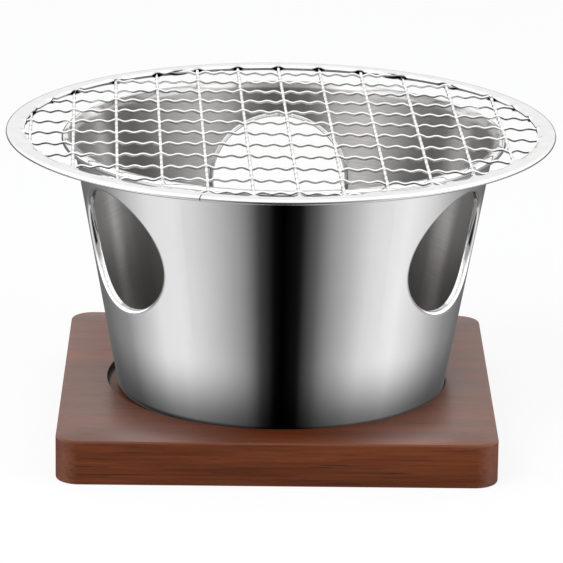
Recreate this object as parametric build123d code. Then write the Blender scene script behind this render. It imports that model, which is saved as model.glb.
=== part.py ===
from build123d import *
import math
import os

# A one-person table grill. A conical stainless stove with three oval windows stands in the
# shallow recess of a square wooden base, a spirit burner stands inside it, and a round net of
# woven crimped wires lies on its rolled top edge. Millimetres. The origin is the middle of the
# underside of the base, +Z is up and the front is -Y.

# Wooden base
base_side = 165.0
base_height = 17.0
base_corner_radius = 9.0
base_edge_bevel = 0.8
recess_diameter = 131.2
recess_depth = 3.0

# Stove, drawn from sheet. Its cone is given by the outside diameters at the foot and the neck
stove_height = 100.0
stove_foot_diameter = 126.0
stove_neck_diameter = 160.0
stove_neck_drop = 5.0
stove_rim_diameter = 169.8
stove_bead_diameter = 3.0
stove_sheet = 0.8
stove_foot_bevel = 2.0
bead_sides = 8
stove_panel_diameter = 96.0
stove_panel_rise = 1.2
stove_shift = (1.7, 0.3)

# Windows round the stove's wall. Their edges are drawn inwards into a short collar
window_count = 3
window_width = 53.6
window_height = 45.4
window_middle = 63.6
window_turn = 1.0
collar_depth = 2.4

# Net: a strip folded flat over the ends of two families of crimped wires
net_diameter = 210.0
net_shift = (0.6, 1.0)
net_crown = 1.0
strip_width = 7.0
strip_height = 2.5
strip_sheet = 0.3
strip_edge_slope = 1.1
strip_edge_height = 1.07
strip_seam_gap = 0.4
strip_seam_turn = -106.5

# Wires of the net, made as square bars with the section of the round wire. The middle of each
# family lies beside the middle of the net by a share of a cell
wire_diameter = 1.2
cells_across_net = 12.8
wire_cell = net_diameter / cells_across_net
wire_count = 12
wire_crimps = 5
wire_crimp_height = 0.33
wire_play = 0.06
wire_end_gap = 0.5
long_wire_turn = 92.0
long_wire_offset = -0.329 * wire_cell
cross_wire_turn = -1.3
cross_wire_offset = 0.0975 * wire_cell

# Outer ends of the wires, pressed flat between the leaves of the strip
press_lead = 0.4
press_play = 0.08
held_crossing_margin = 1.0
held_crossing_lead = 0.75
held_crossing_stop = 1.45

# Spirit burner: a cup with a soaked pad, a cover with a raised mouth, and a swinging lid
burner_diameter = 72.0
burner_height = 36.0
burner_sheet = 0.6
burner_foot_bevel = 1.5
pad_height = 24.0
pad_bevel = 2.0
cover_sheet = 0.8
cover_skirt = 5.0
mouth_diameter = burner_diameter / 2
mouth_rise = 3.0
lid_overlap = 2.4
lid_sheet = 0.8
eye_radius = 6.0
rivet_reach = burner_diameter * 3 / 8
rivet_diameter = 4.0
rivet_shoulder_diameter = 8.0
rivet_head_height = 1.2
handle_width = 8.0
handle_sheet = 1.2
handle_foot = 9.0
handle_rise = 13.0
handle_reach = 12.0

# Clearances
seat_gap = 0.3
fit_gap = 0.15

# Heights and radii that follow from the sizes above
recess_floor = base_height - recess_depth
neck_height = stove_height - stove_neck_drop
bead_radius = stove_bead_diameter / 2
bead_ring_radius = stove_rim_diameter / 2 - bead_radius
burner_floor = recess_floor + stove_panel_rise + stove_sheet
cover_top = burner_floor + burner_height + cover_sheet
lid_bottom = cover_top + mouth_rise + seat_gap
lid_top = lid_bottom + lid_sheet

strip_inner_radius = net_diameter / 2 - strip_width
held_crossing_radius = strip_inner_radius - held_crossing_margin
strip_cavity = strip_height / 2 - strip_sheet
wire_side = wire_diameter * math.sqrt(math.pi) / 2
crimp_pitch = wire_cell / wire_crimps
wire_rest = wire_side / 2 + wire_play / 2
weave_slope = (wire_rest + wire_crimp_height) / (crimp_pitch - wire_side / 2)
weave_height = wire_rest + weave_slope * wire_side / 2
bead_share = bead_ring_radius / strip_inner_radius
wire_end_radius = net_diameter / 2 - strip_edge_slope - wire_end_gap
net_height = (recess_floor + stove_height + seat_gap + weave_height + wire_side / 2
              - net_crown * (1 - bead_share ** 2))


def stove_radius(height):
    """Outside radius of the stove's cone at a height above its foot."""
    share = height / neck_height
    return (stove_foot_diameter * (1 - share) + stove_neck_diameter * share) / 2


def section(*points):
    """Closed straight outline given as radius and height."""
    return Polygon(*points, align=None)


def turned(outline):
    """An outline of radius and height turned about the vertical axis."""
    return revolve(Plane.XZ * outline, Axis.Z)


def wooden_base():
    block = extrude(RectangleRounded(base_side, base_side, base_corner_radius), base_height)
    rims = block.faces().filter_by(Plane.XY).edges()
    block = chamfer(rims, base_edge_bevel)
    return block - Pos(0, 0, recess_floor) * extrude(Circle(recess_diameter / 2), recess_depth)


def stove_wall():
    """Floor with its raised panel, cone and flared neck, before the windows are made."""
    panel = stove_panel_diameter / 2
    wall = stove_sheet
    foot = stove_radius(0)
    bevel = stove_foot_bevel
    neck = stove_radius(neck_height)
    outline = section(
        (0, stove_panel_rise), (panel - stove_panel_rise, stove_panel_rise), (panel, 0),
        (foot - bevel, 0), (stove_radius(bevel), bevel), (neck, neck_height),
        (bead_ring_radius - bead_radius / 2, stove_height - 1.5 * bead_radius),
        (bead_ring_radius - bead_radius / 2, stove_height - bead_radius / 2),
        (neck - wall, neck_height), (stove_radius(bevel) - wall, bevel + wall / 2),
        (foot - bevel - wall / 2, wall), (panel, wall), (panel - stove_panel_rise, stove_panel_rise + wall),
        (0, stove_panel_rise + wall))
    bead = RegularPolygon(bead_radius, bead_sides, major_radius=False, rotation=180 / bead_sides)
    return turned(outline + Pos(bead_ring_radius, stove_height - bead_radius) * bead)


def window_bar(growth, number):
    """An oval bar that runs outwards through one window, wider than it by the growth."""
    angle = window_turn - 30 + number * 360 / window_count
    outwards = Vector(math.cos(math.radians(angle)), math.sin(math.radians(angle)), 0)
    plane = Plane(origin=Vector(0, 0, window_middle), x_dir=Vector(0, 0, 1).cross(outwards), z_dir=outwards)
    oval = Ellipse(window_width / 2 + growth, window_height / 2 + growth)
    return extrude(plane * oval, stove_rim_diameter / 2)


def stove_body():
    body = stove_wall()
    low = window_middle - window_height
    high = window_middle + window_height
    collar_zone = turned(section(
        (stove_radius(low) - stove_sheet - collar_depth, low),
        (stove_radius(low) - stove_sheet / 2, low),
        (stove_radius(high) - stove_sheet / 2, high),
        (stove_radius(high) - stove_sheet - collar_depth, high)))
    for number in range(window_count):
        body += collar_zone & window_bar(stove_sheet, number)
    for number in range(window_count):
        body -= window_bar(0, number)
    return Pos(*stove_shift, recess_floor) * body


def burner_cup():
    radius = burner_diameter / 2
    wall = burner_sheet
    bevel = burner_foot_bevel
    outline = section(
        (0, 0), (radius - bevel, 0), (radius, bevel), (radius, burner_height),
        (radius - wall, burner_height), (radius - wall, bevel + wall / 2),
        (radius - bevel - wall / 2, wall), (0, wall))
    return Pos(*stove_shift, burner_floor) * turned(outline)


def fuel_pad():
    radius = burner_diameter / 2 - burner_sheet - seat_gap
    outline = section(
        (0, 0), (radius - pad_bevel, 0), (radius, pad_bevel), (radius, pad_height - pad_bevel),
        (radius - pad_bevel, pad_height), (0, pad_height))
    return Pos(*stove_shift, burner_floor + burner_sheet) * turned(outline)


def burner_cover():
    """Plate that closes the cup, with a skirt inside the wall and a raised mouth."""
    rim = burner_diameter / 2
    skirt = rim - burner_sheet - fit_gap
    mouth = mouth_diameter / 2
    wall = burner_sheet
    outline = section(
        (mouth, mouth_rise + cover_sheet), (mouth, 0), (skirt - wall, 0), (skirt - wall, -cover_skirt),
        (skirt, -cover_skirt), (skirt, 0), (rim, 0), (rim, cover_sheet),
        (mouth + wall, cover_sheet), (mouth + wall, mouth_rise + cover_sheet))
    cover = Pos(0, 0, burner_floor + burner_height) * turned(outline)
    hole = Pos(0, rivet_reach, cover_top) * Cylinder(rivet_diameter / 2 + fit_gap, 4 * cover_sheet)
    return Pos(*stove_shift, 0) * (cover - hole)


def snuffer_rivet():
    """Shouldered rivet that holds the lid's eye above the cover."""
    shank = rivet_diameter / 2
    shoulder = rivet_shoulder_diameter / 2
    outline = section(
        (0, burner_floor + burner_height - rivet_head_height),
        (shoulder, burner_floor + burner_height - rivet_head_height),
        (shoulder, burner_floor + burner_height), (shank, burner_floor + burner_height),
        (shank, cover_top), (shoulder, cover_top), (shoulder, lid_bottom - fit_gap),
        (shank, lid_bottom - fit_gap), (shank, lid_top + fit_gap), (shoulder, lid_top + fit_gap),
        (shoulder, lid_top + fit_gap + rivet_head_height), (0, lid_top + fit_gap + rivet_head_height))
    return Pos(*stove_shift, 0) * Pos(0, rivet_reach, 0) * turned(outline)


def snuffer_lid():
    """Flat lid over the mouth, with an eye that turns on the rivet."""
    radius = mouth_diameter / 2 + burner_sheet + lid_overlap
    disc = Circle(radius)
    eye = Pos(0, rivet_reach) * Circle(eye_radius)
    plate = make_hull((disc + eye).edges())
    plate -= Pos(0, rivet_reach) * Circle(rivet_diameter / 2 + fit_gap)
    return Pos(*stove_shift, lid_bottom) * extrude(plate, lid_sheet)


def snuffer_handle():
    """Bent strip on the lid's front edge, by which the lid is swung with tongs."""
    front = mouth_diameter / 2 + burner_sheet + lid_overlap
    outline = section(
        (handle_foot - front, 0), (-front, 0), (-front, handle_rise), (-front - handle_reach, handle_rise),
        (-front - handle_reach, handle_rise + handle_sheet), (-front + handle_sheet, handle_rise + handle_sheet),
        (-front + handle_sheet, handle_sheet), (handle_foot - front, handle_sheet))
    strip = extrude(Plane.YZ * outline, handle_width / 2, both=True)
    return Pos(*stove_shift, lid_top) * strip


def net_rim():
    """Strip folded over the wire ends, open inwards, its two ends meeting at a seam."""
    outside = net_diameter / 2
    half = strip_height / 2
    edge = strip_edge_height / 2
    cavity = outside - strip_edge_slope
    ring = turned(section(
        (strip_inner_radius, -half), (outside - strip_edge_slope, -half), (outside, -edge),
        (outside, edge), (outside - strip_edge_slope, half), (strip_inner_radius, half),
        (strip_inner_radius, strip_cavity), (cavity, strip_cavity),
        (cavity, -strip_cavity), (strip_inner_radius, -strip_cavity)))
    seam = Rot(0, 0, strip_seam_turn) * Pos(outside, 0, 0) * Box(3 * strip_width, strip_seam_gap, 2 * strip_height)
    return Pos(*net_shift, net_height) * (ring - seam)


def heading(turn):
    """Unit vector in the plane of the net, turned from +X."""
    return Vector(math.cos(math.radians(turn)), math.sin(math.radians(turn)), 0)


def right_of(along):
    return along.cross(Vector(0, 0, 1))


def wire_family(turn, offset, side):
    """Every wire of one family: number, direction, distance to the right of the middle, side."""
    middle = (wire_count - 1) / 2
    return [(number, heading(turn), offset + wire_cell * (number - middle), side)
            for number in range(wire_count)]


def crossings(wire, others):
    """Places along a wire where the other family's wires cross it, and its side there."""
    number, along, offset, side = wire
    places = []
    for other_number, other_along, other_offset, _ in others:
        right = right_of(other_along)
        place = (other_offset - offset * right_of(along).dot(right)) / along.dot(right)
        places.append((place, side * (-1) ** (number + other_number)))
    return sorted(places)


def crests_between(place, next_place, side, steps):
    """Crests strictly between two places, on alternate sides of the middle of the net."""
    return [(place + (next_place - place) * step / steps, side * (-1) ** step * wire_crimp_height)
            for step in range(1, steps)]


def pressed_end(way, offset, held, side):
    """Distances from the middle where one end is pressed flat and where it stops, and its side."""
    edge = abs(offset) + wire_side / 2
    pressed = math.sqrt((strip_inner_radius - press_lead) ** 2 - edge ** 2)
    stop = math.sqrt(wire_end_radius ** 2 - edge ** 2)
    near = sorted((way * place, held_side) for place, held_side in held if way * place > 0)
    if near and near[0][0] < stop + wire_side:
        pressed = min(pressed, near[0][0] - held_crossing_lead)
        side = near[0][1]
    if len(near) > 1:
        stop = min(stop, near[1][0] - held_crossing_stop)
    return way * pressed, way * stop, side


def net_wire(wire, others):
    """One crimped wire: its side view in the upright plane along it, extruded to both sides."""
    _, along, offset, _ = wire
    places = crossings(wire, others)
    free = [(place, side) for place, side in places if math.hypot(place, offset) < held_crossing_radius]
    held = [(place, side) for place, side in places if (place, side) not in free]
    crests = [(place, side * weave_height) for place, side in free]
    for (place, side), (next_place, _) in zip(free, free[1:]):
        crests += crests_between(place, next_place, side, wire_crimps)
    flats = []
    for way, (place, side) in ((-1, free[0]), (1, free[-1])):
        pressed, stop, pressed_side = pressed_end(way, offset, held, side)
        steps = max(1, round(abs(pressed - place) / crimp_pitch))
        crests += crests_between(place, pressed, side, steps)
        low, high = sorted((pressed_side * wire_play / 2, pressed_side * (strip_cavity - press_play)))
        flats += [(pressed, low, high), (stop, low, high)]
    half = wire_side / 2
    levels = [(place, height + crown(place, offset) - half, height + crown(place, offset) + half)
              for place, height in crests]
    levels = sorted(levels + flats)
    side_view = section(*[(place, low) for place, low, _ in levels],
                        *[(place, high) for place, _, high in reversed(levels)])
    middle = Vector(*net_shift, net_height) + right_of(along) * offset
    return extrude(Plane(middle, x_dir=along, z_dir=right_of(along)) * side_view, half, both=True)


def crown(place, offset):
    """Rise of the slightly domed net above its edge."""
    return net_crown * (1 - (place ** 2 + offset ** 2) / strip_inner_radius ** 2)


def nodes():
    for make in (wooden_base, stove_body, burner_cup, fuel_pad, burner_cover, snuffer_rivet,
                 snuffer_lid, snuffer_handle, net_rim):
        yield make.__name__, make()
    long_wires = wire_family(long_wire_turn, long_wire_offset, 1)
    cross_wires = wire_family(cross_wire_turn, cross_wire_offset, -1)
    for family, wires, others in (("long_wire", long_wires, cross_wires),
                                  ("cross_wire", cross_wires, long_wires)):
        for wire in wires:
            yield f"{family}_{wire[0] + 1:02d}", net_wire(wire, others)


if __name__ == "__main__":
    os.makedirs("parts", exist_ok=True)
    for name, solid in nodes():
        export_step(solid, f"parts/{name}.step")
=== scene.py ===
import math

import bpy
import numpy as np
from mathutils import Matrix, Vector


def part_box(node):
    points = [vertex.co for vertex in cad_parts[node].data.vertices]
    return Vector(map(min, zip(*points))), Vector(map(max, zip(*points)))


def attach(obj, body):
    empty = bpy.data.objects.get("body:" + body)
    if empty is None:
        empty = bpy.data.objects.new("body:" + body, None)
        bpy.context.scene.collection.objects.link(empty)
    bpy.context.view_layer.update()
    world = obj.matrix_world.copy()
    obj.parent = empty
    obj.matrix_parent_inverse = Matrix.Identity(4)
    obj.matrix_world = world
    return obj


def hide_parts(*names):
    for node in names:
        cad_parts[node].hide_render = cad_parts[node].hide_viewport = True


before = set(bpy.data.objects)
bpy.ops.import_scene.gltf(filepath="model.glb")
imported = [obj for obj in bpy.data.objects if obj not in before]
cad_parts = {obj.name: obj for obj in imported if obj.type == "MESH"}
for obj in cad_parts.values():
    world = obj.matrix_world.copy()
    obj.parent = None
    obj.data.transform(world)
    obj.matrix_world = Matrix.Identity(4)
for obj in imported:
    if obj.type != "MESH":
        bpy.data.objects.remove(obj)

bl_info = {
    "name": "Table grill",
    "version": (1, 0, 0),
    "blender": (4, 5, 0),
    "location": "View3D > Sidebar > Table grill",
    "description": "Dresses a one-person table grill: wooden base, steel stove, spirit burner and wire net",
    "category": "Object",
}

MM = 0.001
UP = Vector((0, 0, 1))
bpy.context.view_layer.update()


def length(name, description, default):
    return bpy.props.FloatProperty(name=name, description=description, default=default * MM,
                                   unit="LENGTH", precision=5)


def turn(name, description, default):
    return bpy.props.FloatProperty(name=name, description=description, default=math.radians(default),
                                   unit="ROTATION")


def colour(name, description, default):
    return bpy.props.FloatVectorProperty(name=name, description=description, default=default, size=3,
                                         subtype="COLOR", min=0, max=1)


class GrillSizes(bpy.types.PropertyGroup):
    base_corner: length("Base corner", "Radius of the base's upright corners", 9.0)
    base_edge: length("Base edge", "Radius of the base's eased edges", 1.0)
    recess_radius: length("Recess radius", "Radius of the round recess in the base", 65.6)
    recess_depth: length("Recess depth", "Depth of the recess", 3.0)
    foot_radius: length("Foot radius", "Outside radius of the stove's cone at its foot", 63.0)
    neck_radius: length("Neck radius", "Outside radius of the stove's cone at its neck", 80.0)
    neck_height: length("Neck height", "Height of the neck above the stove's foot", 95.0)
    stove_height: length("Stove height", "Height of the rolled edge above the stove's foot", 100.0)
    sheet: length("Sheet", "Thickness of the stove's sheet", 0.8)
    bend_radius: length("Bend radius", "Radius of the bends at the stove's floor and neck", 3.0)
    panel_radius: length("Panel radius", "Radius of the raised panel in the stove's floor", 48.0)
    panel_rise: length("Panel rise", "Rise of that panel", 1.2)
    bead_radius: length("Bead radius", "Radius of the rolled top edge", 1.5)
    rim_radius: length("Rim radius", "Outside radius of the rolled top edge round the stove", 84.9)
    window_half_width: length("Window half width", "Half the clear width of a window", 27.1)
    window_half_height: length("Window half height", "Half the clear height of a window", 23.2)
    window_middle: length("Window height", "Height of the windows' middle above the stove's foot", 63.6)
    window_turn: turn("Window turn", "Direction of the right front window from +X", -29.0)
    window_lip: length("Window lip", "Radius of the windows' edge, which is rolled inwards", 1.5)
    wire_radius: length("Wire radius", "Radius of the net's wires", 0.6)
    wire_cell: length("Mesh", "Distance between the net's wires", 16.40625)
    wire_crimp: length("Crimp", "Height of the waves between two crossings", 0.33)
    net_crown: length("Crown", "Rise of the middle of the net", 1.0)
    long_wire_offset: length("Long wire offset", "Middle of the long wires from the net's middle", -5.4)
    long_wire_turn: turn("Long wire turn", "Direction of the wires that run to the back", 92.0)
    cross_wire_offset: length("Cross wire offset", "Middle of the cross wires from the net's middle", 1.6)
    cross_wire_turn: turn("Cross wire turn", "Direction of the wires that run across", -1.3)
    strip_width: length("Strip width", "Width of the folded strip round the net", 7.0)
    strip_leaf: length("Strip leaf", "Thickness of the strip before it is folded", 0.3)
    seam_turn: turn("Seam turn", "Direction of the strip's seam from +X", -106.5)
    cup_wall: length("Cup wall", "Thickness of the burner's cup and of the cover's skirt", 0.6)
    cover_sheet: length("Cover sheet", "Thickness of the burner's cover", 0.8)
    mouth_radius: length("Mouth radius", "Radius of the opening in the burner's cover", 18.0)


class GrillColours(bpy.types.PropertyGroup):
    wood_light: colour("Light wood", "Lighter streaks of the base", (0.172, 0.037, 0.004))
    wood_dark: colour("Dark wood", "Darker streaks of the base", (0.082, 0.015, 0.001))
    wood_pore: colour("Pores", "Open pores of the base", (0.020, 0.006, 0.003))
    # Colour of the painted shade in the recess of the base.
    painted_recess_shade: colour("Recess", "Shaded rim of the recess in the base", (0.008, 0.004, 0.003))
    polished: colour("Polished steel", "Outside of the stove", (0.88, 0.88, 0.88))
    brushed: colour("Brushed steel", "Inside of the stove", (0.97, 0.95, 0.93))
    net: colour("Net steel", "Wires and strip of the net", (0.90, 0.90, 0.895))
    burner: colour("Burner steel", "Burner cup, cover and lid", (0.60, 0.58, 0.55))
    heat_tint: colour("Heat tint", "Faint straw tint of the burner", (0.50, 0.40, 0.27))
    pad: colour("Fuel pad", "Mineral fibre of the pad", (0.78, 0.75, 0.68))
    floor: colour("Floor", "Table top round the grill", (0.93, 0.93, 0.93))


class Signal:
    """A shader socket that takes part in sums. Each sum adds the Math node that it needs."""

    def __init__(self, finish, socket):
        self.finish = finish
        self.socket = socket

    def _sum(self, operation, first, second):
        return self.finish.add("ShaderNodeMath", {"operation": operation}, {0: first, 1: second})

    def __add__(self, other):
        return self._sum("ADD", self, other)

    def __radd__(self, other):
        return self._sum("ADD", other, self)

    def __sub__(self, other):
        return self._sum("SUBTRACT", self, other)

    def __rsub__(self, other):
        return self._sum("SUBTRACT", other, self)

    def __mul__(self, other):
        return self._sum("MULTIPLY", self, other)

    def __rmul__(self, other):
        return self._sum("MULTIPLY", other, self)

    def __truediv__(self, other):
        return self._sum("DIVIDE", self, other)

    def __pow__(self, other):
        return self._sum("POWER", self, other)


class Finish:
    """The node tree of one finish, of the floor or of the studio."""

    def __init__(self, owner):
        owner.use_nodes = True
        self.owner = owner
        self.tree = owner.node_tree
        self.tree.nodes.clear()

    def add(self, kind, settings=None, inputs=None, output=0):
        node = self.tree.nodes.new(kind)
        for name, value in (settings or {}).items():
            if name == "stops":
                self._set_stops(node.color_ramp, value)
            else:
                setattr(node, name, value)
        for name, value in (inputs or {}).items():
            if isinstance(value, Signal):
                self.tree.links.new(value.socket, node.inputs[name])
            else:
                node.inputs[name].default_value = value
        return Signal(self, node.outputs[output]) if len(node.outputs) else node

    @staticmethod
    def _set_stops(ramp, stops):
        ramp.elements.remove(ramp.elements[1])
        for number, (place, grey) in enumerate(stops):
            element = ramp.elements[0] if number == 0 else ramp.elements.new(place)
            element.position = place
            element.color = (grey, grey, grey, 1)

    def place(self, stretch=(1, 1, 1)):
        """Position on the piece, in metres, multiplied by a stretch along each axis."""
        position = self.add("ShaderNodeTexCoord", output="Object")
        return self.add("ShaderNodeVectorMath", {"operation": "MULTIPLY"}, {0: position, 1: stretch})

    def axes(self):
        """The three parts of the position on the piece."""
        return [self.add("ShaderNodeSeparateXYZ", {}, {0: self.place()}, axis) for axis in range(3)]

    def turn_round(self, x, y):
        """Direction seen from above, from 0 to 1 for a full turn, with 0.5 towards +X."""
        turn_of = self.add("ShaderNodeMath", {"operation": "ARCTAN2"}, {0: y, 1: x})
        return turn_of / (2 * math.pi) + 0.5

    def levels(self, value, stops):
        """A grey for every value between the stops."""
        return self.add("ShaderNodeValToRGB", {"stops": stops}, {0: value})

    def noise(self, stretch, detail=2.0, roughness=0.5):
        return self.add("ShaderNodeTexNoise", {}, {
            "Vector": self.place(stretch), "Scale": 1.0, "Detail": detail, "Roughness": roughness})

    def step(self, value, low, high):
        """Smooth step from 0 at the low value to 1 at the high one."""
        return self.add("ShaderNodeMapRange", {"interpolation_type": "SMOOTHSTEP"}, {
            "Value": value, "From Min": low, "From Max": high})

    def mix(self, share, first, second):
        first, second = [(*c, 1) if isinstance(c, tuple) and len(c) == 3 else c for c in (first, second)]
        return self.add("ShaderNodeMix", {"data_type": "RGBA"}, {0: share, 6: first, 7: second}, 2)

    def bump(self, height, strength, distance):
        return self.add("ShaderNodeBump", {}, {
            "Height": height, "Strength": strength, "Distance": distance}, "Normal")

    def surface(self, **values):
        names = {name.replace("_", " "): value for name, value in values.items()}
        return self.add("ShaderNodeBsdfPrincipled", {}, names)

    def show(self, shader, kind="ShaderNodeOutputMaterial"):
        self.add(kind, {}, {"Surface": shader})
        return self.owner


def new_finish(name):
    return Finish(bpy.data.materials.new(name))


def rgb(value, share=1.0):
    """A colour of the panel as plain numbers, darkened to a share of itself."""
    return tuple(share * part for part in value)


def stained_wood(colours):
    """Reddish-brown wood, grain along X: streaks, fibres, pores, painted shade in the recess and a satin coat.
    """
    f = new_finish("stained_wood")
    streaks = f.noise((5.5, 75, 75), 3.0, 0.55)
    fibres = f.noise((30, 900, 900), 2.0, 0.6)
    pores = f.step(f.noise((150, 2100, 2100), 1.0), 0.62, 0.70)
    long_pores = f.step(f.noise((26, 1300, 1300), 1.0), 0.69, 0.74)
    tone = f.step(streaks * 0.6 + fibres * 0.4, 0.30, 0.70)
    wood = f.mix(tone, rgb(colours.wood_dark), rgb(colours.wood_light))
    open_grain = pores * 0.35 + long_pores * 0.6
    wood = f.mix(f.step(open_grain, 0.0, 1.0), wood, rgb(colours.wood_pore))
    x, y, z = f.axes()
    reach = (x * x + y * y) ** 0.5
    # Painted shade: the recess's wall and the floor beside it darken towards the shade colour and lose their
    # coat.
    below_top = 1 - f.step(z, 16.7 * MM, 17.0 * MM)
    inside_wall = 1 - f.step(reach, 65.62 * MM, 65.8 * MM)
    near_wall = f.step(reach, 64.0 * MM, 65.4 * MM) * 0.6 + 0.35
    recess = below_top * inside_wall * near_wall
    wood = f.mix(recess, wood, rgb(colours.painted_recess_shade))
    rough = 0.34 + fibres * 0.16 + open_grain * 0.2 + recess * 0.6
    height = fibres * 0.35 - open_grain
    return f.show(f.surface(Base_Color=wood, Roughness=rough, IOR=1.45, Coat_Weight=0.22 * (1 - recess),
                            Coat_Roughness=0.24, Normal=f.bump(height, 0.2, 0.0002)))


def polished_steel(colours):
    """Mirror finish with faint haze and very fine marks round the cone, darkened towards the foot by painted
    shade.
    """
    f = new_finish("polished_steel")
    haze = f.noise((60, 60, 40), 3.0)
    marks = f.noise((45, 45, 3800), 2.0, 0.6)
    rough = 0.06 + haze * 0.03 + marks * 0.02
    height = f.axes()[2]
    # Painted shade: the colour darkens towards the foot in place of the dimmer reflection there, and darker
    # still in a line where the foot stands in the recess.
    painted_foot_shade = f.step(height, 14 * MM, 44 * MM) * 0.84 + 0.16
    painted_recess_line_shade = f.step(height, 16.0 * MM, 17.5 * MM) * 0.8 + 0.2
    lit = painted_foot_shade * painted_recess_line_shade
    steel = f.mix(f.step(haze, 0.3, 0.7), rgb(colours.polished, 0.97), rgb(colours.polished))
    return f.show(f.surface(Base_Color=f.mix(lit, (0.0, 0.0, 0.0), steel), Metallic=1.0, Roughness=rough,
                            Normal=f.bump(marks, 0.02, 0.00005)))


def brushed_steel(colours):
    """Inside of the stove, with brush lines round it and upright bands of painted reflection, light and dark.
    """
    f = new_finish("brushed_steel")
    lines = f.noise((22, 22, 5200), 2.0, 0.7)
    x, y, _ = f.axes()
    # Painted reflection on the back wall: its brightness by degrees to the right of its middle.
    painted_back_wall_reflection = {-70: 0.5, -64: 0.9, -59: 0.3, -54: 0.12, -48: 0.10, -42: 0.2, -36: 0.4, -31: 0.56, -25: 0.72,
                 -19: 0.86, -14: 0.7, -9: 0.3, -3: 0.13, 4: 0.13, 9: 0.2, 13: 0.55, 18: 0.95, 24: 1.0, 30: 0.8,
                 37: 0.42, 43: 0.24, 50: 0.14, 56: 0.2, 61: 0.7, 65: 0.8, 70: 0.3}
    # Painted reflection on the rest, by share of a full turn.
    stops = [(0.0, 0.3), (0.25, 0.6), (0.42, 0.3)]
    stops += sorted(((270 - right) / 360, painted_reflection) for right, painted_reflection in painted_back_wall_reflection.items())
    # Noise that makes the edges of the painted reflection waver.
    streaks = f.noise((160, 160, 2), 2.0, 0.5)
    uneven = (streaks - 0.5) * 0.012
    painted_reflection = f.levels(f.turn_round(x, y) + uneven, stops)
    painted_reflection = f.mix(f.step(lines, 0.3, 0.7) * 0.22, painted_reflection, (0.12, 0.12, 0.12))
    # The painted reflection runs from 0.16 of the brushed steel's colour to all of it.
    steel = f.mix(painted_reflection, rgb(colours.brushed, 0.16), rgb(colours.brushed))
    return f.show(f.surface(Base_Color=steel, Metallic=1.0, Roughness=0.3 + lines * 0.1,
                            Normal=f.bump(lines, 0.12, 0.00008)))


def net_steel(colours):
    """Bright drawn wire and strip, with faint haze."""
    f = new_finish("net_steel")
    haze = f.noise((160, 160, 160), 3.0)
    steel = f.mix(f.step(haze, 0.3, 0.7), rgb(colours.net, 0.93), rgb(colours.net))
    return f.show(f.surface(Base_Color=steel, Metallic=1.0, Roughness=0.12 + haze * 0.1,
                            Normal=f.bump(haze, 0.05, 0.0001)))


def burner_steel(colours):
    """Drawn and turned burner parts, satin, with turning marks and slight heat tint."""
    f = new_finish("burner_steel")
    marks = f.noise((60, 60, 2600), 2.0, 0.6)
    heat = f.step(f.noise((30, 30, 30), 2.0), 0.45, 0.75)
    steel = f.mix(heat * 0.35, rgb(colours.burner), rgb(colours.heat_tint))
    return f.show(f.surface(Base_Color=steel, Metallic=1.0, Roughness=0.28 + marks * 0.12,
                            Normal=f.bump(marks, 0.1, 0.0001)))


def rivet_steel(colours):
    """Bright turned steel with faint haze."""
    f = new_finish("rivet_steel")
    haze = f.noise((500, 500, 500), 2.0)
    return f.show(f.surface(Base_Color=(*colours.polished, 1), Metallic=1.0, Roughness=0.14 + haze * 0.08,
                            Normal=f.bump(haze, 0.05, 0.0001)))


def mineral_fibre(colours):
    """Matt felted fibre of the pad."""
    f = new_finish("mineral_fibre")
    felt = f.noise((900, 900, 900), 4.0, 0.7)
    clumps = f.noise((140, 140, 140), 3.0)
    wool = f.mix(f.step(felt * 0.6 + clumps * 0.4, 0.3, 0.7), rgb(colours.pad, 0.7), rgb(colours.pad))
    return f.show(f.surface(Base_Color=wool, Roughness=0.95, Normal=f.bump(felt, 0.8, 0.0006)))


def table_top(colours):
    """White table that keeps the grill's shadow and shows as plain background."""
    f = new_finish("table_top")
    seen = f.add("ShaderNodeLightPath", output="Is Camera Ray")
    matt = f.add("ShaderNodeBsdfDiffuse", {}, {"Color": (*colours.floor, 1)})
    white = f.add("ShaderNodeEmission", {}, {"Color": (1, 1, 1, 1), "Strength": 1.0})
    white_share = seen * 0.86
    return f.show(f.add("ShaderNodeMixShader", {}, {0: white_share, 1: matt, 2: white}))


def painted_fold_shade():
    """Near-black painted shade on the strip's folded lip, where it turns in over the wires."""
    f = new_finish("painted_fold_shade")
    return f.show(f.surface(Base_Color=(0.02, 0.02, 0.02, 1), Metallic=0.5, Roughness=0.6))


def loops(rows, columns, close_rows=False, close_columns=True, first=0):
    """Quads between neighbouring rows of points."""
    faces = []
    for row in range(rows if close_rows else rows - 1):
        for column in range(columns if close_columns else columns - 1):
            a = first + row * columns + column
            b = first + row * columns + (column + 1) % columns
            c = first + (row + 1) % rows * columns + (column + 1) % columns
            d = first + (row + 1) % rows * columns + column
            faces.append((a, b, c, d))
    return faces


def piece(name, points, faces, body, finishes, replaced, finish_of=None, sharp=30):
    """One mesh piece in metres that rides on a body and stands for its solid."""
    mesh = bpy.data.meshes.new(name)
    mesh.from_pydata([tuple(p) for p in points], [], faces)
    for finish in finishes:
        mesh.materials.append(finish)
    if finish_of is not None:
        mesh.polygons.foreach_set("material_index", finish_of)
    mesh.validate()
    mesh.update()
    mesh.shade_smooth()
    mesh.set_sharp_from_angle(angle=math.radians(sharp))
    shape = bpy.data.objects.new(name, mesh)
    bpy.context.scene.collection.objects.link(shape)
    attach(shape, body)
    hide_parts(*replaced)
    return shape


def arc(middle, radius, start, end, steps):
    """Points of an arc in an outline, from one direction to another in degrees."""
    angles = np.radians(np.linspace(start, end, steps + 1))
    return [(middle[0] + radius * math.cos(a), middle[1] + radius * math.sin(a)) for a in angles]


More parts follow.
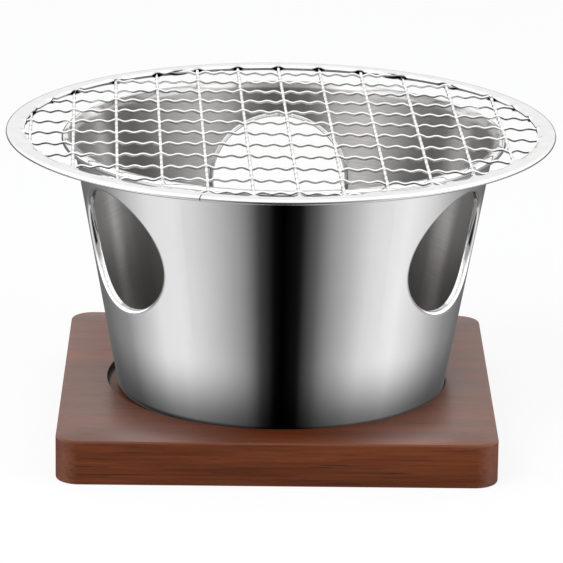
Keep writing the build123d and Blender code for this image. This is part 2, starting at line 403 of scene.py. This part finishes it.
def eased(points, radius, steps=5):
    """An outline with every inner corner rounded to a radius, or less where its runs are short."""
    result = [points[0]]
    for before, corner, after in zip(points, points[1:], points[2:]):
        before, corner, after = Vector(before), Vector(corner), Vector(after)
        reach = min(radius, (before - corner).length * 0.45, (after - corner).length * 0.45)
        start = corner + (before - corner).normalized() * reach
        end = corner + (after - corner).normalized() * reach
        for share in np.linspace(0, 1, steps + 1):
            result.append(tuple(start * (1 - share) ** 2 + corner * 2 * share * (1 - share)
                                + end * share ** 2))
    return result + [points[-1]]


def turned(name, outline, middle, body, finish, replaced, steps=128):
    """A turned piece from an outline of radius and height, which is joined up where its ends meet."""
    points = []
    for radius, height in outline:
        for step in range(steps):
            angle = 2 * math.pi * step / steps
            points.append((middle[0] + radius * math.cos(angle), middle[1] + radius * math.sin(angle),
                           height))
    closed = Vector(outline[0]) == Vector(outline[-1])
    rows = len(outline) - (1 if closed else 0)
    faces = loops(rows, steps, close_rows=closed)
    return piece(name, points[:rows * steps], faces, body, [finish], replaced)


class GRILL_OT_base(bpy.types.Operator):
    """Build the wooden base with its eased edges and recess"""

    bl_idname = "grill.base"
    bl_label = "Wooden base"

    columns = 176
    per_corner = 16
    recess_lip = 0.25 * MM

    def execute(self, context):
        sizes = context.scene.grill_sizes
        low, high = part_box("wooden_base")
        half = (high.x - low.x) / 2
        edge = sizes.base_edge
        quarter = np.radians(np.linspace(0, 90, 6))
        easing = [(edge * (1 - math.sin(a)), edge * (1 - math.cos(a))) for a in quarter]
        points = self.ring(half, sizes.base_corner, half * 0.6, low.z)
        for inset, height in easing:
            points += self.ring(half, sizes.base_corner, inset, low.z + height)
        for inset, depth in easing[::-1]:
            points += self.ring(half, sizes.base_corner, inset, high.z - depth)
        outline = self.ring(half, sizes.base_corner, 0, high.z)
        lip, recess, floor = self.recess_lip, sizes.recess_radius, high.z - sizes.recess_depth
        for radius, height in ((recess + lip, high.z), (recess + lip * 0.3, high.z - lip * 0.3),
                               (recess, high.z - lip), (recess, floor), (recess * 0.5, floor)):
            for x, y, _ in outline:
                share = radius / math.hypot(x, y)
                points.append((x * share, y * share, height))
        rows = len(points) // self.columns
        faces = loops(rows, self.columns)
        faces.append(tuple(range(self.columns))[::-1])
        faces.append(tuple(range((rows - 1) * self.columns, rows * self.columns)))
        block = piece("base_block", points, faces, "base",
                      [stained_wood(context.scene.grill_colours)], ["wooden_base"])
        block.visible_glossy = False
        return {"FINISHED"}

    def ring(self, half, corner, inset, height):
        """A rounded square, one point for each column, drawn in by the inset."""
        per_side = self.columns // 4 - self.per_corner
        inner = half - corner
        points = []
        for quarter in range(4):
            spin = Matrix.Rotation(quarter * math.pi / 2, 2)
            for step in range(per_side):
                share = step / per_side * 2 - 1
                points.append(spin @ Vector((half - inset, share * inner)))
            for step in range(self.per_corner):
                angle = math.pi / 2 * step / self.per_corner
                radius = max(corner - inset, 0)
                centre = Vector((inner, inner)) if inset <= corner else Vector((half - inset, half - inset))
                points.append(spin @ (centre + radius * Vector((math.cos(angle), math.sin(angle)))))
        return [(p.x, p.y, height) for p in points]


class GRILL_OT_stove(bpy.types.Operator):
    """Build the stove: floor, cone, rolled top edge and three windows with rolled-in edges"""

    bl_idname = "grill.stove"
    bl_label = "Stove"

    columns = 144
    window_columns = 24
    window_rows = 24
    outside_finish, inside_finish = 0, 1
    cone_low = 8 * MM
    window_low = 36 * MM
    window_high = 92 * MM
    middle_gap = 0.05 * MM
    under_bend = 2 * MM
    under_bend_height = 95.27 * MM
    neck_inside = (94 * MM, 96 * MM)
    neck_outside = (94 * MM, 93 * MM)
    window_edge_end = 1.1 * MM
    weld = 0.002 * MM

    def execute(self, context):
        self.sizes = context.scene.grill_sizes
        colours = context.scene.grill_colours
        low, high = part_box("stove_body")
        self.origin = Vector(((low.x + high.x) / 2, (low.y + high.y) / 2, low.z))
        self.slope = (self.sizes.neck_radius - self.sizes.foot_radius) / self.sizes.neck_height
        self.tilt = math.atan(self.slope)
        self.points, self.faces, self.finish_of = [], [], []
        self.turned_sheet(self.floor(0), self.outside_finish)
        self.turned_sheet(self.floor(self.sizes.sheet), self.inside_finish)
        self.turned_edge(self.top_edge())
        for finish, depth in ((self.outside_finish, 0), (self.inside_finish, self.sizes.sheet)):
            self.plain_walls(finish, depth)
        for number in range(3):
            self.window(self.sizes.window_turn + number * 2 * math.pi / 3)
        self.join(colours)
        return {"FINISHED"}

    def radius(self, height):
        return self.sizes.foot_radius + self.slope * height

    def wall(self, angle, height, depth):
        """A point of the cone, at a depth under its outside."""
        outward = Vector((math.cos(angle), math.sin(angle), 0))
        normal = outward * math.cos(self.tilt) - UP * math.sin(self.tilt)
        return outward * self.radius(height) + UP * height - normal * depth

    def floor(self, depth):
        """From the middle of the floor over its raised panel and its bend to the windows' lower border."""
        bend, rise, panel = self.sizes.bend_radius, self.sizes.panel_rise, self.sizes.panel_radius
        middle = (self.radius(bend) - bend / math.cos(self.tilt), bend)
        inward = depth / math.cos(self.tilt)
        start = [(self.middle_gap, rise + depth), (panel - rise, rise + depth), (panel, depth)]
        cone = [(self.radius(h) - inward, h) for h in np.linspace(self.cone_low, self.window_low, 9)]
        if depth:
            cone[-1] = self.inner_end(self.window_low)
        return start + arc(middle, bend - depth, -90, -math.degrees(self.tilt), 8) + cone

    def inner_end(self, height):
        """The inside of the sheet, square to a point of its outside at this height."""
        point = self.wall(0, height, self.sizes.sheet)
        return (point.x, point.z)

    def top_edge(self):
        """From the inside of the neck over the rolled edge to the outside of the neck."""
        sizes = self.sizes
        lean = 180 - math.degrees(self.tilt)
        slant = math.cos(self.tilt)
        bend, inward = sizes.bend_radius, sizes.sheet / slant
        bead = (sizes.rim_radius - sizes.bead_radius, sizes.stove_height - sizes.bead_radius)
        bend_height = sizes.stove_height - bend
        over = (self.radius(bend_height) - inward + bend / slant, bend_height)
        under = (self.radius(self.under_bend_height) + self.under_bend / slant, self.under_bend_height)
        touch = math.degrees(math.atan2(bead[1] - under[1], bead[0] - under[0]))
        outline = [self.inner_end(self.window_high)]
        outline += [(self.radius(h) - inward, h) for h in self.neck_inside]
        outline += arc(over, bend, lean, 90, 8)
        outline += arc(bead, sizes.bead_radius, 90, touch - 180, 20)
        outline += arc(under, self.under_bend, touch, lean, 8)[1:]
        outline += [(self.radius(h), h) for h in (*self.neck_outside, self.window_high)]
        return outline

    def add(self, rows, columns, points, finish, close_columns=True):
        """A patch of the sheet from rows of points, with its finish."""
        first = len(self.points)
        self.points += points
        faces = loops(rows, columns, close_columns=close_columns, first=first)
        self.faces += faces
        self.finish_of += [finish] * len(faces)

    def turned_sheet(self, outline, finish):
        """An outline of radius and height turned round the stove's middle."""
        points = []
        for radius, height in outline:
            for column in range(self.columns):
                angle = self.sizes.window_turn + 2 * math.pi * column / self.columns
                points.append(Vector((radius * math.cos(angle), radius * math.sin(angle), height)))
        self.add(len(outline), self.columns, points, finish)

    def turned_edge(self, outline):
        """The rolled edge, whose finish changes at its top."""
        top = max(range(len(outline)), key=lambda n: outline[n][1])
        self.turned_sheet(outline[:top + 1], self.inside_finish)
        self.turned_sheet(outline[top:], self.outside_finish)

    def plain_walls(self, finish, depth):
        """The cone between the windows, one side of its sheet."""
        step = 2 * math.pi / self.columns
        half = self.window_columns // 2
        gap = self.columns // 3 - self.window_columns
        for number in range(3):
            start = self.sizes.window_turn + (number * self.columns // 3 + half) * step
            points = [self.wall(start + column * step, height, depth)
                      for height in np.linspace(self.window_low, self.window_high, self.window_rows + 1)
                      for column in range(gap + 1)]
            self.add(self.window_rows + 1, gap + 1, points, finish, False)

    def border_of(self, middle):
        """Angle and height of each point round the patch that holds a window."""
        half = math.pi * self.window_columns / self.columns
        columns = np.linspace(-half, half, self.window_columns + 1)
        rows = np.linspace(self.window_low, self.window_high, self.window_rows + 1)
        border = [(half, h) for h in rows[:-1]] + [(a, rows[-1]) for a in columns[:0:-1]]
        border += [(-half, h) for h in rows[:0:-1]] + [(a, rows[0]) for a in columns[:-1]]
        return [(middle + a, h) for a, h in border]

    def window(self, middle):
        """Wall round one window and its edge, which rolls inwards: outside, end and inside."""
        sizes = self.sizes
        border = self.border_of(middle)
        count = len(border)
        lip, sheet = sizes.window_lip, sizes.sheet
        spots = []
        for angle, height in border:
            across = (angle - middle) * self.radius(sizes.window_middle)
            spots.append(math.atan2((height - sizes.window_middle) / sizes.window_half_height,
                                    across / sizes.window_half_width))
        fold = [self.on_window(middle, spot, lip) for spot in spots]
        shares = np.linspace(0, 1, 9)
        for finish, depth in ((self.outside_finish, 0), (self.inside_finish, sheet)):
            points = [self.wall(angle + (outer_angle - angle) * share, height + (outer - height) * share, depth)
                      for share in shares
                      for (angle, height), (outer_angle, outer) in zip(fold, border)]
            self.add(len(shares), count, points, finish)
        quarter = np.radians(np.linspace(0, 90, 9))
        rolled = [(lip * (1 - math.sin(a)), lip * (1 - math.cos(a))) for a in quarter]
        end = lip + self.window_edge_end
        rolled += [(0, end), (sheet * 0.15, end + sheet * 0.35), (sheet * 0.5, end + sheet * 0.5),
                   (sheet * 0.85, end + sheet * 0.35), (sheet, end)]
        rolled += [(lip - (lip - sheet) * math.sin(a), lip - (lip - sheet) * math.cos(a))
                   for a in np.radians(np.linspace(90, 0, 7))]
        points = []
        for away, depth in rolled:
            for spot in spots:
                angle, height = self.on_window(middle, spot, away)
                points.append(self.wall(angle, height, depth))
        self.add(len(rolled), count, points, self.outside_finish)

    def on_window(self, middle, spot, away):
        """Angle and height of a point at a distance outside a window's clear oval."""
        sizes = self.sizes
        a, b = sizes.window_half_width, sizes.window_half_height
        across, rise = a * math.cos(spot), b * math.sin(spot)
        outward = Vector((math.cos(spot) / a, math.sin(spot) / b)).normalized() * away
        height = sizes.window_middle + rise + outward.y
        return middle + math.asin((across + outward.x) / self.radius(height)), height

    def join(self, colours):
        """Joins the patches along their shared borders into one piece."""
        places, index, points = {}, [], []
        for point in self.points:
            key = tuple(round(c / self.weld) for c in point)
            if key not in places:
                places[key] = len(points)
                points.append(point + self.origin)
            index.append(places[key])
        faces = [tuple(index[i] for i in face) for face in self.faces]
        finishes = [polished_steel(colours), brushed_steel(colours)]
        piece("stove_shell", points, faces, "stove", finishes, ["stove_body"],
              self.finish_of, sharp=55)


class GRILL_OT_burner(bpy.types.Operator):
    """Build the burner's cup, cover and fuel pad, and finish its rivet, lid and handle"""

    bl_idname = "grill.burner"
    bl_label = "Spirit burner"

    middle_gap = 0.01 * MM
    cup_bend = 2.5 * MM
    cover_bend = 0.3 * MM
    skirt_clearance = 0.75 * MM
    mouth_skirt = 1.5 * MM

    def execute(self, context):
        sizes, colours = context.scene.grill_sizes, context.scene.grill_colours
        steel = burner_steel(colours)
        self.cup(sizes.cup_wall, steel)
        self.cover(sizes, steel)
        self.pad(mineral_fibre(colours))
        for name in ("snuffer_lid", "snuffer_handle"):
            self.dress(name, steel)
        self.dress("snuffer_rivet", rivet_steel(colours))
        return {"FINISHED"}

    def dress(self, name, finish):
        """A CAD piece whose shape stays gets its finish."""
        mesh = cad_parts[name].data
        mesh.materials.clear()
        mesh.materials.append(finish)

    def cup(self, wall, steel):
        low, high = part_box("burner_cup")
        middle, radius = (low + high) / 2, (high.x - low.x) / 2
        corners = [(self.middle_gap, low.z), (radius, low.z), (radius, high.z), (radius - wall, high.z),
                   (radius - wall, low.z + wall), (self.middle_gap, low.z + wall)]
        turned("cup_shell", eased(corners, self.cup_bend), middle, "burner", steel,
               ["burner_cup"])

    def cover(self, sizes, steel):
        """A plate with a skirt inside the cup and a raised mouth, outlined all the way round."""
        low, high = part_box("burner_cover")
        middle, radius = (low + high) / 2, (high.x - low.x) / 2
        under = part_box("burner_cup")[1].z
        over = under + sizes.cover_sheet
        skirt, mouth, wall = radius - self.skirt_clearance, sizes.mouth_radius, sizes.cup_wall
        start = (mouth, under + self.mouth_skirt)
        corners = [start, (mouth, under), (skirt - wall, under), (skirt - wall, low.z), (skirt, low.z),
                   (skirt, under), (radius, under), (radius, over), (mouth + wall, over),
                   (mouth + wall, high.z), (mouth, high.z), start]
        turned("cover_shell", eased(corners, self.cover_bend, 3), middle, "burner", steel,
               ["burner_cover"])

    def pad(self, fibre):
        """A felted disc with a slightly crowned top and a soft uneven edge."""
        low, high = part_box("fuel_pad")
        middle, radius = (low + high) / 2, (high.x - low.x) / 2
        rows, columns = 40, 120
        points = []
        for row in range(rows):
            around = math.pi * row / (rows - 1)
            rise = abs(math.cos(around)) ** 0.22 * math.copysign(1, -math.cos(around))
            reach = math.sin(around) ** 0.35
            for column in range(columns):
                angle = 2 * math.pi * column / columns
                uneven = 1 - 0.004 * (1 + math.sin(5 * angle + 3 * rise)) - 0.003 * (1 + math.sin(13 * angle))
                crown = 0.97 + 0.03 * math.cos(7 * angle) * reach
                points.append((middle.x + radius * reach * uneven * math.cos(angle),
                               middle.y + radius * reach * uneven * math.sin(angle),
                               middle.z + rise * (high.z - low.z) / 2 * crown))
        shape = piece("fibre_pad", points, loops(rows, columns), "burner", [fibre],
                      ["fuel_pad"], sharp=180)


class GRILL_OT_net(bpy.types.Operator):
    """Weave the crimped wires and press the strip round their ends"""

    bl_idname = "grill.net"
    bl_label = "Wire net"

    crimps = 5
    count = 12
    sides = 10
    steps_per_wave = 6
    strip_columns = 1080
    free_margin = 1.0 * MM
    held_reach = 4 * MM
    held_height = 0.32 * MM
    entry_depth = 0.6 * MM
    end_depth = 3.4 * MM
    seam_half = 0.2 * MM
    # The strip's outline in millimetres: places across it, the start of its outer fold, and its heights.
    across_strip = (0, 0.35, 0.8, 1.3, 2.0, 3.2, 4.6, 5.5, 6.15, 6.6, 6.88, 7.0)
    fold_start, fold_width, fold_height = 4.6, 2.4, 1.10
    lip_width, lip_height, lip_lift = 1.7, 0.30, 0.82
    flat_height, flat_lift = 1.08, 0.16
    least_height = 0.03

    def execute(self, context):
        self.sizes = context.scene.grill_sizes
        low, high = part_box("net_rim")
        self.middle = (low + high) / 2
        self.outside = (high.x - low.x) / 2
        self.lip = self.outside - self.sizes.strip_width
        steel = net_steel(context.scene.grill_colours)
        sizes = self.sizes
        long_wires = self.family("long_wire", sizes.long_wire_turn, sizes.long_wire_offset, 1)
        cross_wires = self.family("cross_wire", sizes.cross_wire_turn, sizes.cross_wire_offset, -1)
        for wires, others in ((long_wires, cross_wires), (cross_wires, long_wires)):
            for wire in wires:
                self.wire(wire, others, steel)
        self.strip(long_wires + cross_wires, steel)
        return {"FINISHED"}

    def family(self, name, heading, offset, side):
        """Every wire of one family: its node, direction, place to the right of the middle, number and side."""
        along = Vector((math.cos(heading), math.sin(heading), 0))
        cell, last = self.sizes.wire_cell, self.count - 1
        return [(f"{name}_{n + 1:02d}", along, offset + cell * (n - last / 2), n, side)
                for n in range(self.count)]

    def crossings(self, wire, others):
        """Where a wire meets the others: place along it, and 1 where it passes over or -1 where under."""
        _, along, offset, number, side = wire
        found = []
        for _, other_along, other_offset, other_number, _ in others:
            right = other_along.cross(UP)
            place = (other_offset - offset * along.cross(UP).dot(right)) / along.dot(right)
            found.append((place, side * (-1) ** (number + other_number)))
        return sorted(found)

    def crests(self, wire, others):
        """Crests and troughs of a wire from end to end: place along it, and height."""
        offset, crimp = wire[2], self.sizes.wire_crimp
        high = self.sizes.wire_radius * 1.03
        inner, outer = self.lip - self.free_margin, self.lip + self.held_reach
        places = self.crossings(wire, others)
        free = [(p, s) for p, s in places if math.hypot(p, offset) < inner]
        held = [(p, s) for p, s in places if inner <= math.hypot(p, offset) < outer]
        found = [(p, s * high) for p, s in free]
        for (place, side), (after, _) in zip(free, free[1:]):
            for step in range(1, self.crimps):
                found.append((place + (after - place) * step / self.crimps, side * (-1) ** step * crimp))
        for way, (place, side) in ((-1, free[0]), (1, free[-1])):
            entry = way * math.sqrt((self.lip + self.entry_depth) ** 2 - offset ** 2)
            stop = way * math.sqrt((self.lip + self.end_depth) ** 2 - offset ** 2)
            near = [(p, s) for p, s in held if p * way > 0]
            level = near[0 if way > 0 else -1][1] * self.held_height if near else 0.0
            steps = max(1, round(abs(entry - place) * self.crimps / self.sizes.wire_cell))
            for step in range(1, steps):
                found.append((place + (entry - place) * step / steps, side * (-1) ** step * crimp))
            found += [(entry, level), (stop, level)]
        return sorted(found)

    def height(self, place, offset):
        """Rise of the net's crown at a place along a wire."""
        return self.sizes.net_crown * (1 - (place ** 2 + offset ** 2) / self.lip ** 2)

    def wire(self, wire, others, steel):
        """One round wire swept along its waves."""
        name, along, offset, _, _ = wire
        right = along.cross(UP)
        path = []
        crests = self.crests(wire, others)
        for (place, height), (after, next_height) in zip(crests, crests[1:]):
            for step in range(self.steps_per_wave):
                share = step / self.steps_per_wave
                wave = (1 - math.cos(math.pi * share)) / 2
                s = place + (after - place) * share
                path.append((s, height + (next_height - height) * wave + max(0, self.height(s, offset))))
        path.append(crests[-1])
        sides = self.sides
        points = []
        for number, (s, z) in enumerate(path):
            before, after = path[max(number - 1, 0)], path[min(number + 1, len(path) - 1)]
            lean = Vector((after[0] - before[0], after[1] - before[1])).normalized()
            centre = self.middle + along * s + right * offset + UP * z
            upward = UP * lean.x - along * lean.y
            for side in range(sides):
                angle = 2 * math.pi * side / sides
                outward = right * math.cos(angle) + upward * math.sin(angle)
                points.append(centre + outward * self.sizes.wire_radius)
        faces = loops(len(path), sides)
        faces.append(tuple(range(sides))[::-1])
        faces.append(tuple(range(len(points) - sides, len(points))))
        piece(name.replace("wire", "wire_round"), points, faces, "net", [steel], [name],
              sharp=60)

    def strip(self, wires, steel):
        """The folded strip: its inner lips dip between the wires and are pressed up over each one."""
        rows = self.strip_columns
        seam = self.seam_half / self.outside
        points = []
        for row in range(rows):
            angle = self.sizes.seam_turn + seam + (2 * math.pi - 2 * seam) * row / (rows - 1)
            outward = Vector((math.cos(angle), math.sin(angle), 0))
            over_lip, over_flat = (max(self.lift(outward * (self.lip + away), wire) for wire in wires)
                                   for away in (0.4 * MM, 3 * MM))
            outline = self.strip_outline(over_lip, over_flat)
            for step, height in outline:
                points.append(self.middle + outward * (self.lip + step * MM) + UP * height * MM)
        across = len(outline)
        faces = loops(rows, across)
        faces.append(tuple(range(across)))
        faces.append(tuple(range((rows - 1) * across, rows * across))[::-1])
        # The faces of the turned-in leaf take the painted shade.
        inner_start, inner_end = 2 * len(self.across_strip) - 1, across - 2
        shaded = [1 if inner_start <= number % across <= inner_end else 0
                  for number in range((rows - 1) * across)]
        piece("net_strip", points, faces, "net", [steel, painted_fold_shade()], ["net_rim"],
              shaded + [0, 0], sharp=50)

    def strip_outline(self, over_lip, over_flat):
        """The folded strip cut through, in millimetres, lifted over a wire by these shares."""
        shell = []
        for step in self.across_strip:
            if step <= self.fold_start:
                rise = min(step / self.lip_width, 1)
                rise = rise * rise * (3 - 2 * rise)
                edge = self.lip_height + self.lip_lift * over_lip
                bulge = max(0, 1 - abs(step - 2.2) / 2.4)
                flat = self.flat_height + self.flat_lift * over_flat * bulge
                shell.append((step, edge + (flat - edge) * rise))
            else:
                turned_in = ((step - self.fold_start) / self.fold_width) ** 3.2
                shell.append((step, self.fold_height * math.sqrt(max(0, 1 - turned_in))))
        leaf = self.sizes.strip_leaf / MM
        inner = [(step, max(height - leaf, self.least_height)) for step, height in shell[:9]]
        outline = shell[:-1] + [(self.across_strip[-1], 0)] + [(s, -h) for s, h in shell[-2::-1]]
        return outline + [(s, -h) for s, h in inner] + inner[::-1]

    def lift(self, spot, wire):
        """How far a wire under this spot lifts the strip, from 0 to 1."""
        _, along, offset, _, _ = wire
        beside_its_middle = abs(spot.dot(along)) < 10 * MM and abs(offset) < 80 * MM
        if beside_its_middle:
            return 0.0
        away = abs(spot.dot(along.cross(UP)) - offset)
        return math.exp(-(max(0.0, away - 0.4 * MM) / (1.5 * MM)) ** 2)


class GRILL_OT_stage(bpy.types.Operator):
    """Set the table, the soft studio light and the camera"""

    bl_idname = "grill.stage"
    bl_label = "Stage"

    # Light that polished metal sees round it, by degrees from the viewer's side: level with it, and above.
    around = {
        "level": ((-180, 0.14), (-153, 0.16), (-123, 0.29), (-101, 0.62), (-87, 0.85), (-70, 0.88), (-55, 0.72),
                  (-40, 0.52), (-26, 0.31), (-15, 0.055), (-6, 0.003), (0, 0.0), (11, 0.006), (21, 0.115),
                  (31, 0.32), (42, 0.49), (56, 0.76), (80, 0.96), (98, 0.75), (114, 0.50), (133, 0.285),
                  (156, 0.17), (180, 0.14)),
        "above": ((-180, 0.42), (-150, 0.45), (-125, 0.8), (-95, 1.0), (-65, 0.8), (-35, 0.2), (0, 0.15),
                  (35, 0.2), (65, 0.8), (95, 1.0), (125, 0.8), (150, 0.45), (180, 0.42)),
    }
    above_strength = (2.3, 2.3, 2.3)
    overhead = (1.3, 1.3, 1.3)
    on_matt_pieces = (0.62, 0.63, 0.65)
    seen_direct = (1.0, 1.0, 1.0)
    lamps = (("key_lamp", (-0.9, -0.8, 1.3), 1.1, 15), ("fill_lamp", (1.2, -0.7, 0.9), 1.0, 7))
    lamps_aim = Vector((0, 0, 0.05))
    eye_place = (-0.01345, -1.59831, 0.53163)
    eye_bearing, eye_pitch, eye_roll = math.radians(0.537), math.radians(16.601), math.radians(0.749)
    sensor_width = 36
    focal_length = 276.35
    table_half = 3
    table_rows = 13

    def execute(self, context):
        scene = context.scene
        self.table(scene.grill_colours)
        self.studio(scene)
        for name, place, size, power in self.lamps:
            self.lamp(name, place, size, power)
        self.camera(scene)
        scene.view_settings.view_transform = "Standard"
        return {"FINISHED"}

    def table(self, colours):
        mesh = bpy.data.meshes.new("table_top")
        rows = self.table_rows
        span = np.linspace(-self.table_half, self.table_half, rows)
        mesh.from_pydata([(x, y, 0) for y in span for x in span], [], loops(rows, rows, close_columns=False))
        mesh.materials.append(table_top(colours))
        table = bpy.data.objects.new("table_top", mesh)
        bpy.context.scene.collection.objects.link(table)
        table.visible_glossy = False

    def studio(self, scene):
        """White to the eye, even to matt surfaces, and soft boxes with dark gaps to polished metal."""
        scene.world = bpy.data.worlds.new("studio")
        f = Finish(scene.world)
        direction = f.add("ShaderNodeTexCoord", output="Generated")
        x, y, z = (f.add("ShaderNodeSeparateXYZ", {}, {0: direction}, axis) for axis in range(3))
        circle = f.turn_round(y * -1.0, x)
        level, above = (f.levels(circle, [((degrees + 180) / 360, grey) for degrees, grey in self.around[name]])
                        for name in ("level", "above"))
        room = f.mix(f.step(z, -0.02, 0.12), level, f.mix(above, (0.0, 0.0, 0.0), self.above_strength))
        room = f.mix(f.step(z, 0.4, 0.8), room, self.overhead)
        reflected = f.add("ShaderNodeLightPath", output="Is Glossy Ray")
        seen = f.add("ShaderNodeLightPath", output="Is Camera Ray")
        light = f.mix(reflected, self.on_matt_pieces, room)
        light = f.mix(seen, light, self.seen_direct)
        f.show(f.add("ShaderNodeBackground", {}, {"Color": light, "Strength": 1.0}), "ShaderNodeOutputWorld")

    def lamp(self, name, place, size, power):
        lamp = bpy.data.lights.new(name, "AREA")
        lamp.shape = "DISK"
        lamp.size = size
        lamp.energy = power
        holder = bpy.data.objects.new(name, lamp)
        holder.location = place
        holder.rotation_euler = (self.lamps_aim - Vector(place)).to_track_quat("-Z", "Y").to_euler()
        holder.visible_glossy = False
        bpy.context.scene.collection.objects.link(holder)

    def camera(self, scene):
        """A long lens a little above the grill, as in the photograph."""
        bearing, pitch, roll = self.eye_bearing, self.eye_pitch, self.eye_roll
        forward = Vector((math.sin(bearing) * math.cos(pitch), math.cos(bearing) * math.cos(pitch),
                          -math.sin(pitch)))
        level = Vector((math.cos(bearing), -math.sin(bearing), 0))
        above = level.cross(forward)
        right = level * math.cos(roll) + above * math.sin(roll)
        upward = above * math.cos(roll) - level * math.sin(roll)
        eye = bpy.data.cameras.new("camera")
        eye.sensor_width = self.sensor_width
        eye.lens = self.focal_length
        eye.clip_end = 20
        holder = bpy.data.objects.new("camera", eye)
        facing = Matrix((right, upward, -forward)).transposed().to_4x4()
        holder.matrix_world = Matrix.Translation(self.eye_place) @ facing
        scene.collection.objects.link(holder)
        scene.camera = holder


class GRILL_PT_panel(bpy.types.Panel):
    """Lists the steps that dress the grill"""

    bl_idname = "GRILL_PT_panel"
    bl_label = "Table grill"
    bl_space_type = "VIEW_3D"
    bl_region_type = "UI"
    bl_category = "Table grill"

    def draw(self, context):
        for step in STEPS:
            self.layout.operator(step.bl_idname)
        for group in (context.scene.grill_sizes, context.scene.grill_colours):
            box = self.layout.box()
            for name in group.__annotations__:
                box.prop(group, name)


STEPS = (GRILL_OT_base, GRILL_OT_stove, GRILL_OT_burner, GRILL_OT_net, GRILL_OT_stage)
CLASSES = (GrillSizes, GrillColours, *STEPS, GRILL_PT_panel)


def register():
    for each in CLASSES:
        bpy.utils.register_class(each)
    bpy.types.Scene.grill_sizes = bpy.props.PointerProperty(type=GrillSizes)
    bpy.types.Scene.grill_colours = bpy.props.PointerProperty(type=GrillColours)


def unregister():
    del bpy.types.Scene.grill_colours
    del bpy.types.Scene.grill_sizes
    for each in reversed(CLASSES):
        bpy.utils.unregister_class(each)


def main():
    register()
    bpy.ops.grill.base()
    bpy.ops.grill.stove()
    bpy.ops.grill.burner()
    bpy.ops.grill.net()
    bpy.ops.grill.stage()


if __name__ == "__main__":
    main()
